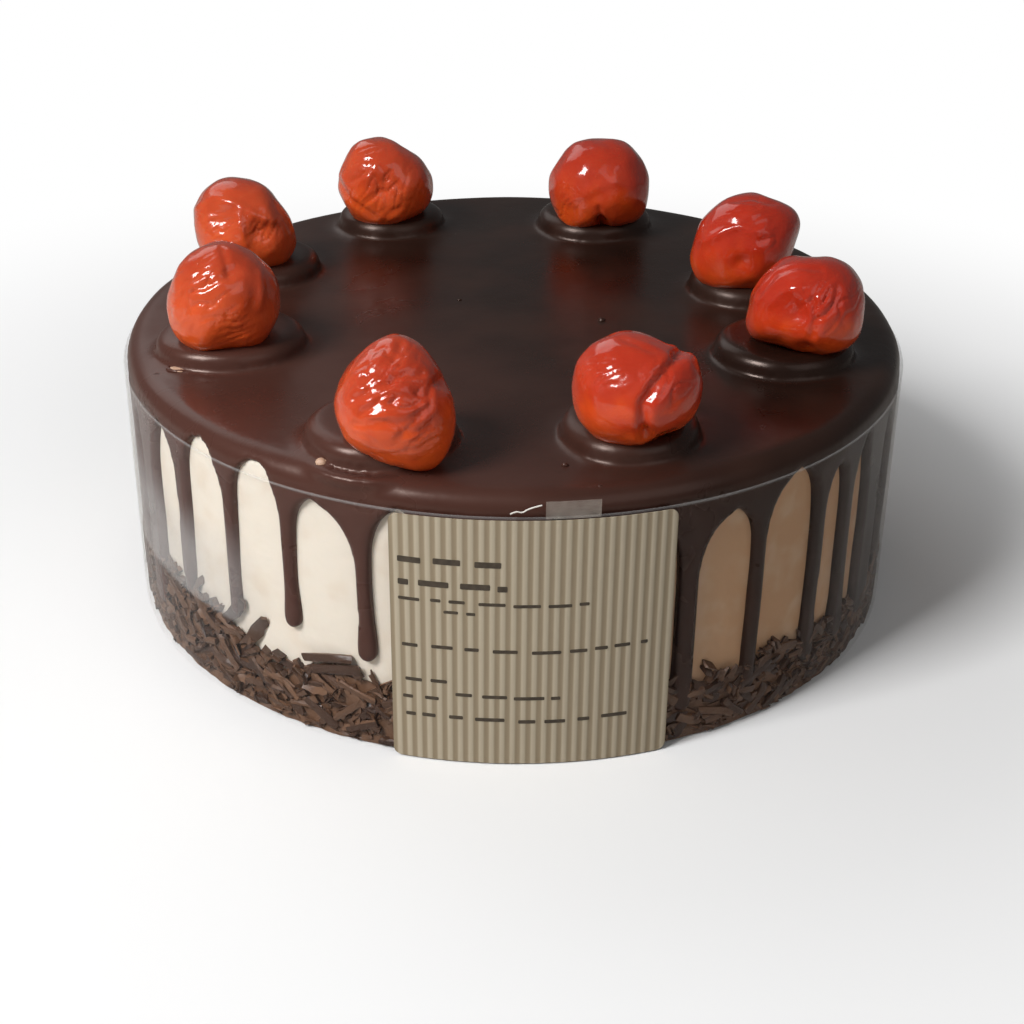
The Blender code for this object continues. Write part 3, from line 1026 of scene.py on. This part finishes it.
# %% Model the print as rows of short bars
# Each row: its height on the label, the height of its bars, and where it starts and ends, as
# shares of the label's width.
PRINT_ROWS = (
    (40.4, 1.10, 0.03, 0.41),
    (36.0, 1.10, 0.03, 0.41),
    (32.8, 0.60, 0.03, 0.72),
    (30.7, 0.55, 0.19, 0.30),
    (23.6, 0.65, 0.04, 0.91),
    (16.6, 0.65, 0.05, 0.20),
    (14.2, 0.65, 0.23, 0.60),
    (13.0, 0.65, 0.04, 0.17),
    (9.4, 0.70, 0.05, 0.86),
)
INK_LIFT = 0.02 * MM
INK = 0.03 * MM
ink = random.Random(5)
bars = []
for height, tall, first, last in PRINT_ROWS:
    share = first
    while share < last - 0.02:
        wide = min(ink.uniform(0.035, 0.11), last - share)
        side = [LABEL_FROM + (LABEL_TO - LABEL_FROM) * value for value in (share, share + wide)]
        sag = 0.25 * math.sin(share * 9)
        low = (height + sag - tall / 2) * MM
        bars.append(cut_sheet(*side, low, low + tall * MM, 0.2 * MM, 3))
        share += wide + ink.uniform(0.022, 0.05)
print_bars = join("label_print", bars)
bend(print_bars, PAPER_RADIUS + PAPER + INK_LIFT, INK)
settle(print_bars, "label_print", angle=35)

# %% Model the tape and the pale curl beside it, a painted highlight
tape = cut_sheet(TAPE_FROM, TAPE_TO, tape_low[2], tape_high[2], 0.0, 12)
bend(tape, PAPER_RADIUS, 0.12 * MM)
settle(tape, "tape_tab", angle=35)

# The azimuth of each point of the curl, and its height in millimetres.
CURL_PATH = ((-0.2, 50.3), (0.5, 50.9), (1.2, 50.5), (1.9, 51.2), (2.9, 51.7), (3.6, 51.9))
pale_curl = add(bpy.ops.curve.primitive_nurbs_path_add)
pale_curl.data.splines.clear()
line = pale_curl.data.splines.new("NURBS")
line.points.add(len(CURL_PATH) - 1)
for point, (azimuth, height) in zip(line.points, CURL_PATH):
    point.co = (*polar(PAPER_RADIUS + 0.3 * MM, azimuth, height * MM), 1)
line.order_u = 3
line.use_endpoint_u = True
pale_curl.data.bevel_depth = 0.13 * MM
pale_curl.data.bevel_resolution = 2
pale_curl.data.resolution_u = 6
pale_curl.data.use_fill_caps = True
hold(pale_curl)
bpy.ops.object.convert(target="MESH")
pale_curl = settle(bpy.context.object, "highlight_curl")

# %% [markdown]
# ## Small marks in the ganache
#
# A hand-made top isn't perfect: a few pimples from air bubbles, one torn spot where the cream shows
# through, and a nib of cream on the rim. Each is a small closed shape that is half sunk in the
# ganache, so it reads as part of it.

# %% Model the pimples, the torn spot and the cream nib


def model_dab(azimuth, distance, wide, high, lift, seed):
    """A small soft lump that lies on the ganache."""
    dab = add(bpy.ops.mesh.primitive_uv_sphere_add, segments=20, ring_count=12, radius=1)
    spot = polar(distance * MM, azimuth, TOP + lift * MM)

    def shape(co):
        """Flatten and knead the ball."""
        knead = 1 + 0.3 * noise.noise(co * 1.3 + Vector((seed, 0, 0)))
        return spot + Vector((co.x * wide * knead, co.y * wide * 0.8 * knead, co.z * high)) * MM

    move_points(dab, shape)
    return dab


# Azimuth, distance from the axis, width, height, lift and seed of each dab.
PIMPLES = (
    (84.6, 17.5, 0.75, 0.50, 0.0, 1.0),
    (7.7, 65.7, 0.60, 0.40, 0.0, 2.0),
    (11.4, 73.3, 0.55, 0.35, -0.5, 3.0),
    (-126, 13.8, 0.45, 0.30, 0.0, 4.0),
    (65.8, 65.1, 0.50, 0.30, 0.0, 5.0),
)
NIB = (
    (-25.9, 73.2, 1.1, 1.1, 0.1, 6.0),
    (-25.2, 72.5, 0.7, 0.9, 0.5, 9.0),
    (-24.6, 74.4, 0.6, 0.60, -0.6, 7.0),
)
pimples, nib = (
    settle(join(name, [model_dab(*dab) for dab in dabs]), name, angle=80)
    for name, dabs in (("ganache_pimples", PIMPLES), ("cream_nib", NIB))
)

TEAR_AZIMUTH = -65.7
TEAR_DISTANCE = 68.1
tear_rim = add(
    bpy.ops.mesh.primitive_torus_add,
    major_radius=1, minor_radius=0.26, major_segments=36, minor_segments=10
)
tear_at = polar(TEAR_DISTANCE * MM, TEAR_AZIMUTH, TOP + 0.3 * MM)


def tear(co):
    """An uneven ring, wider than it is deep."""
    ragged = 1 + 0.3 * noise.noise(co * 1.4 + Vector((3.0, 0, 0)))
    return tear_at + Vector((co.x * 2.3 * ragged, co.y * 1.3 * ragged, co.z * 1.2)) * MM


move_points(tear_rim, tear)
settle(tear_rim, "torn_rim", angle=80)
tear_cream = model_dab(TEAR_AZIMUTH, TEAR_DISTANCE, 1.9, 0.35, 0.35, 8.0)
settle(tear_cream, "torn_cream", angle=80)

# %% [markdown]
# ## Shader maths as plain sums
#
# A material is a graph of nodes. One small class wraps a socket so that a sum in Python adds the
# Math nodes it stands for, and one method adds any other node: its settings first, then its
# sockets. Colours go through Mix, because a Math node would turn them grey.

# %% A class for sums on sockets, and a class for a material


class Value:
    """A number that a node puts out. Each operator adds one Math node."""

    def __init__(self, look, socket):
        self.look = look
        self.socket = socket

    def __add__(self, other):
        return self.look.math("ADD", self, other)

    __radd__ = __add__

    def __sub__(self, other):
        return self.look.math("SUBTRACT", self, other)

    def __rsub__(self, other):
        return self.look.math("SUBTRACT", other, self)

    def __mul__(self, other):
        return self.look.math("MULTIPLY", self, other)

    __rmul__ = __mul__


class Look:
    """A material while it is being made."""

    def __init__(self, name, owner=None):
        """Start an empty node tree on a new material, or on the world."""
        self.owner = owner or bpy.data.materials.new(name)
        self.owner.use_nodes = True
        self.tree = self.owner.node_tree
        self.tree.nodes.clear()

    def add(self, kind, settings=None, inputs=None):
        """Add a node of this kind, with its settings and then its sockets."""
        node = self.tree.nodes.new(kind)
        for name, value in (settings or {}).items():
            setattr(node, name, value)
        for name, value in (inputs or {}).items():
            if isinstance(value, Value):
                self.tree.links.new(value.socket, node.inputs[name])
            else:
                node.inputs[name].default_value = value
        return node

    def out(self, node, name=0):
        """A node's output as a value for sums or for another node's socket."""
        return Value(self, node.outputs[name])

    def math(self, operation, *operands):
        """A Math node."""
        settings = {"operation": operation}
        return self.out(self.add("ShaderNodeMath", settings, dict(enumerate(operands))))

    def mix(self, share, first, last):
        """The first colour where share is 0, the last where it is 1."""
        colours = [
            value if isinstance(value, Value) else (*value, 1.0) for value in (first, last)
        ]
        inputs = {0: share, 6: colours[0], 7: colours[1]}
        return self.out(self.add("ShaderNodeMix", {"data_type": "RGBA"}, inputs), 2)

    def rise(self, value, low, high):
        """A smooth 0 to 1 as the value goes from low to high."""
        settings = {"interpolation_type": "SMOOTHSTEP"}
        inputs = {"Value": value, "From Min": low, "From Max": high}
        return self.out(self.add("ShaderNodeMapRange", settings, inputs))

    def place(self):
        """The place on the object."""
        return self.out(self.add("ShaderNodeTexCoord"), "Object")

    def parts(self, place):
        """How far a place is to the right, to the back and up."""
        parts = self.add("ShaderNodeSeparateXYZ", inputs={0: place})
        return (self.out(parts, axis) for axis in range(3))

    def azimuth(self, across, back):
        """The azimuth in degrees, from the front."""
        return self.math("ARCTAN2", across, 0 - back) * (180 / math.pi)

    def cloud(self, place, size, detail=2.0, rough=0.5):
        """Soft noise whose clouds are about this size in metres."""
        inputs = {"Vector": place, "Scale": 1 / size, "Detail": detail, "Roughness": rough}
        return self.out(self.add("ShaderNodeTexNoise", inputs=inputs), "Fac")

    def bump(self, height, depth, strength=1.0):
        """Relief of this depth in metres."""
        inputs = {"Height": height, "Distance": depth, "Strength": strength}
        return self.out(self.add("ShaderNodeBump", inputs=inputs))

    def principled(self, **sockets):
        """A Principled shader; a name such as base_color stands for the socket Base Color."""
        named = {
            SOCKETS.get(name, name.replace("_", " ").title()): value
            for name, value in sockets.items()
        }
        return self.out(self.add("ShaderNodeBsdfPrincipled", inputs=named))

    def blend(self, share, first, last):
        """The first shader where share is 0, the last where it is 1."""
        return self.out(self.add("ShaderNodeMixShader", inputs={0: share, 1: first, 2: last}))

    def surface(self, shader):
        """Show this shader."""
        self.add("ShaderNodeOutputMaterial", inputs={"Surface": shader})
        print(f"{self.owner.name}: {len(self.tree.nodes)} nodes")
        return self.owner


SOCKETS = {"ior": "IOR", "specular_ior_level": "Specular IOR Level"}

# %% [markdown]
# ## The finishes
#
# Each starts from one plain colour and gets variation: cream with soft streaks and a painted
# shade that turns it tan towards the right, ganache with a soft uneven gloss and a painted sheen
# that makes it browner towards the front left, cherries that let some light in, with a painted
# glow low down and painted shade at their tops and towards the right, shavings that differ one
# by one, and clear film with a painted reflection on its left and a painted highlight along its
# top edge.

# %% Whipped cream
look = Look("whipped_cream")
place = look.place()
across, *_ = look.parts(place)
# Painted shade: the cream turns tan towards the right side of the cake.
painted_shade_right = look.rise(across, -0.030, 0.045)
streaks = look.cloud(place, 0.006)
colour = look.mix(painted_shade_right, (0.86, 0.78, 0.67), (0.56, 0.32, 0.17))
colour = look.mix(look.rise(streaks, 0.45, 0.8) * 0.35, colour, (0.70, 0.55, 0.40))
grain = look.cloud(place, 0.0022, detail=1.0)
cream_look = look.surface(
    look.principled(
        base_color=colour,
        roughness=look.cloud(place, 0.004) * 0.2 + 0.42,
        subsurface_weight=0.1,
        subsurface_scale=0.002,
        subsurface_radius=(1.0, 0.7, 0.5),
        normal=look.bump(grain, 0.00012),
    )
)

# %% Cream stained by ganache


def speckled(name, size, first, last, roughness):
    """A plain finish that goes in small clouds from one colour to another."""
    look = Look(name)
    colour = look.mix(look.cloud(look.place(), size), first, last)
    return look.surface(look.principled(base_color=colour, roughness=roughness))


stained_look = speckled("stained_cream", 0.0012, (0.30, 0.15, 0.08), (0.72, 0.50, 0.36), 0.5)

# %% Dark poured ganache
look = Look("poured_ganache")
place = look.place()
across, back, _ = look.parts(place)
broad = look.cloud(place, 0.022)
fine = look.cloud(place, 0.0045)
colour = look.mix(look.rise(broad, 0.35, 0.7), (0.014, 0.006, 0.004), (0.028, 0.012, 0.008))
# Painted sheen: the ganache turns browner towards the front left, standing in for reflected light.
painted_sheen = look.rise(across * 0.8 + back * 0.6, 0.010, -0.075)
colour = look.mix(painted_sheen * 0.8, colour, (0.088, 0.034, 0.025))
ganache_look = look.surface(
    look.principled(
        base_color=colour,
        roughness=look.rise(broad, 0.3, 0.75) * 0.12 + fine * 0.10 + 0.21,
        ior=1.46,
        specular_ior_level=0.42,
        specular_tint=(1.0, 0.80, 0.72, 1.0),
        normal=look.bump(fine, 0.00006),
    )
)

# %% Candied cherry
look = Look("candied_cherry")
place = look.place()
across, _, height = look.parts(place)
patchy = look.cloud(place, 0.011)
# Painted shade: the cherries go from orange on the left of the cake to a deeper red on the right.
deep = look.rise(across + patchy * 0.05, -0.040, 0.075)
colour = look.mix(deep, (0.68, 0.098, 0.028), (0.54, 0.034, 0.012))
# Painted shade: the cherries darken towards their tops.
dark = look.rise(height + patchy * 0.016, 0.066, 0.088)
colour = look.mix(dark * 0.65, colour, (0.30, 0.016, 0.006))
# Painted glow: the lower parts of the cherries turn a bright orange, as if lit through the fruit.
painted_glow = look.rise(height + look.cloud(place, 0.006) * 0.014, 0.075, 0.062)
colour = look.mix(painted_glow * 0.75, colour, (0.86, 0.110, 0.008))
skin = look.cloud(place, 0.0016, detail=2.0)
cherry_look = look.surface(
    look.principled(
        base_color=colour,
        roughness=look.rise(look.cloud(place, 0.005), 0.35, 0.7) * 0.14 + 0.14,
        subsurface_weight=0.18,
        subsurface_scale=0.0025,
        subsurface_radius=(1.0, 0.25, 0.12),
        specular_ior_level=0.3,
        coat_weight=0.6,
        coat_roughness=0.05,
        normal=look.bump(skin, 0.00010),
    )
)

# %% Chocolate shavings
look = Look("chocolate_shavings")
place = look.place()
each = look.out(look.add("ShaderNodeNewGeometry"), "Random Per Island")
colour = look.mix(each, (0.035, 0.014, 0.008), (0.17, 0.085, 0.045))
rubbed = look.rise(look.cloud(place, 0.003), 0.4, 0.75)
colour = look.mix(rubbed * 0.5, colour, (0.06, 0.026, 0.014))
shavings_look = look.surface(
    look.principled(
        base_color=colour,
        roughness=look.cloud(place, 0.002) * 0.3 + 0.30,
        normal=look.bump(look.cloud(place, 0.0009), 0.00012),
    )
)

# %% Clear film, with a painted reflection on its left side
look = Look("clear_film")
place = look.place()
across, back, height = look.parts(place)
azimuth = look.azimuth(across, back)
facing = look.out(look.add("ShaderNodeLayerWeight", inputs={"Blend": 0.5}), "Facing")
edge_on = look.math("POWER", facing, 5.0)
# Painted reflection: a pale cloudy veil on the left of the film, in a band from 17 to 40 mm up.
left = 1 - look.rise(azimuth, -48, -30)
band = look.rise(height, 0.0165, 0.0180) * look.rise(height, 0.040, 0.026)
painted_reflection = left * band * look.rise(look.cloud(place, 0.016), 0.30, 0.60)
# Painted highlight: the film turns paler in a thin line along its top edge.
painted_edge_highlight = look.rise(height, COLLAR_TOP - 0.0006, COLLAR_TOP - 0.0002)
share = look.math("MINIMUM", edge_on * 0.30 + painted_reflection * 0.16 + painted_edge_highlight * 0.12 + 0.004, 0.6)
clear = look.out(look.add("ShaderNodeBsdfTransparent"))
gloss = look.principled(
    base_color=(0.80, 0.80, 0.80, 1.0),
    roughness=look.cloud(place, 0.006) * 0.12 + 0.05,
)
film_look = look.surface(look.blend(share, clear, gloss))

# %% Striped label paper, its ink, the tape and the curl's painted highlight
STRIPE = 1.34  # degrees from one stripe to the next
look = Look("label_paper")
place = look.place()
across, back, _ = look.parts(place)
wave = look.math("SINE", look.azimuth(across, back) * (2 * math.pi / STRIPE)) * 0.5 + 0.5
worn = look.cloud(place, 0.004)
colour = look.mix(look.rise(wave, 0.15, 0.85), (0.29, 0.225, 0.145), (0.50, 0.43, 0.32))
colour = look.mix(worn * 0.25, colour, (0.36, 0.30, 0.21))
paper_look = look.surface(
    look.principled(
        base_color=colour,
        roughness=worn * 0.2 + 0.45,
        normal=look.bump(wave, 0.00008),
    )
)

ink_look = speckled("label_ink", 0.0012, (0.020, 0.014, 0.010), (0.10, 0.075, 0.05), 0.55)

look = Look("clear_tape")
cloudy = look.rise(look.cloud(look.place(), 0.002), 0.3, 0.7)
clear = look.out(look.add("ShaderNodeBsdfTransparent"))
gloss = look.principled(base_color=(0.62, 0.55, 0.48, 1.0), roughness=cloudy * 0.1 + 0.12)
tape_look = look.surface(look.blend(cloudy * 0.08 + 0.14, clear, gloss))

# Painted highlight: the curl beside the tape is pale all over.
curl_highlight_look = speckled("painted_curl_highlight", 0.001, (0.70, 0.66, 0.60), (0.85, 0.82, 0.78), 0.3)

# %% Dress every piece


def dress(pieces, finish):
    """Put a finish on pieces and let them ride on the cake."""
    for piece in pieces:
        piece.data.materials.clear()
        piece.data.materials.append(finish)
        for face in piece.data.polygons:
            face.material_index = 0
        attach(piece, "root")


dress([cream], cream_look)
dress([nib, tear_cream], stained_look)
dress([ganache, pimples, tear_rim], ganache_look)
dress(cherries, cherry_look)
dress(shavings, shavings_look)
dress([collar], film_look)
dress([label], paper_look)
dress([print_bars], ink_look)
dress([tape], tape_look)
dress([pale_curl], curl_highlight_look)
for piece, node in zip(
    (cream, ganache, *cherries, core, collar, label, tape),
    ("cake", "ganache", *CHERRIES, "crumbs", "collar", "label", "tape"),
):
    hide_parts(node)

# %% [markdown]
# ## Floor, light and camera
#
# The cake stands on a plain white floor under a soft lamp from the front left, a weak fill from
# the right, a lamp behind that gives the ganache its sheen, and a dim white sky. The floor keeps
# the shadow near the cake and turns to plain white further out, and the sky is white only to the
# camera and through the film, so neither adds light to the cake.

# %% Lay the floor
FLOOR_SIDE = 6
SHADOW_FROM = 0.085
SHADOW_TO = 0.26
WHITE = (1, 1, 1, 1)

floor = add(bpy.ops.mesh.primitive_grid_add, x_subdivisions=24, y_subdivisions=24, size=FLOOR_SIDE)
floor.name = "floor"
look = Look("white_floor")
across, back, _ = look.parts(look.place())
away = look.math("SQRT", across * across + back * back)
seen = look.out(look.add("ShaderNodeLightPath"), "Is Camera Ray")
far = look.rise(away, SHADOW_FROM, SHADOW_TO) * seen
shown = look.mix(seen, (0.50, 0.48, 0.45), (0.93, 0.93, 0.93))
plain = look.out(look.add("ShaderNodeBsdfDiffuse", inputs={"Color": shown}))
white = look.out(look.add("ShaderNodeEmission", inputs={"Color": WHITE, "Strength": 1.0}))
floor.data.materials.append(look.surface(look.blend(far, plain, white)))
print(f"a floor {FLOOR_SIDE} m wide, plain white from {SHADOW_TO} m out")

# %% Hang the lamps
HALF_HEIGHT = 30 * MM


def hang_lamp(name, azimuth, elevation, distance, wide, power):
    """A square white lamp that faces the cake's middle."""
    start()
    rise = math.radians(elevation)
    way = polar(math.cos(rise), azimuth, math.sin(rise))
    spot = way * distance + Vector((0, 0, HALF_HEIGHT))
    facing = way.to_track_quat("Z", "Y").to_euler()
    bpy.ops.object.light_add(type="AREA", location=spot, rotation=facing)
    lamp = bpy.context.object
    lamp.name = name
    lamp.data.size = wide
    lamp.data.energy = power
    print(f"{name}: {power} W at azimuth {azimuth}")


hang_lamp("key", -50, 42, 0.90, 0.30, 7.8)
hang_lamp("fill", 35, 35, 1.20, 0.80, 1.35)
hang_lamp("sheen", 215, 38, 1.00, 0.60, 1.2)

# %% Make the sky
SKY_LIGHT = 0.14
world = bpy.data.worlds.new("sky")
bpy.context.scene.world = world
sky = Look("sky", world)
paths = sky.add("ShaderNodeLightPath")
ways = (sky.out(paths, name) for name in ("Is Camera Ray", "Is Transmission Ray"))
straight = sky.math("MAXIMUM", *ways)
strength = straight * (1 - SKY_LIGHT) + SKY_LIGHT
light = sky.out(sky.add("ShaderNodeBackground", inputs={"Color": WHITE, "Strength": strength}))
sky.add("ShaderNodeOutputWorld", inputs={"Surface": light})
print(f"a sky of {SKY_LIGHT}")

# %% Set the camera where the eye stands
camera = add(bpy.ops.object.camera_add, location=EYE)
camera.data.lens = LENS
camera.data.sensor_width = SENSOR
camera.data.clip_start = 0.01
turned = Matrix.Rotation(math.radians(90 - EYE_DOWN), 3, "X")
rolled = Matrix.Rotation(math.radians(EYE_ROLL), 3, "Z")
camera.rotation_euler = (turned @ rolled).to_euler()
bpy.context.scene.camera = camera
bpy.context.scene.view_settings.view_transform = "Standard"
print(f"lens {LENS} mm, looking {EYE_DOWN} degrees down")
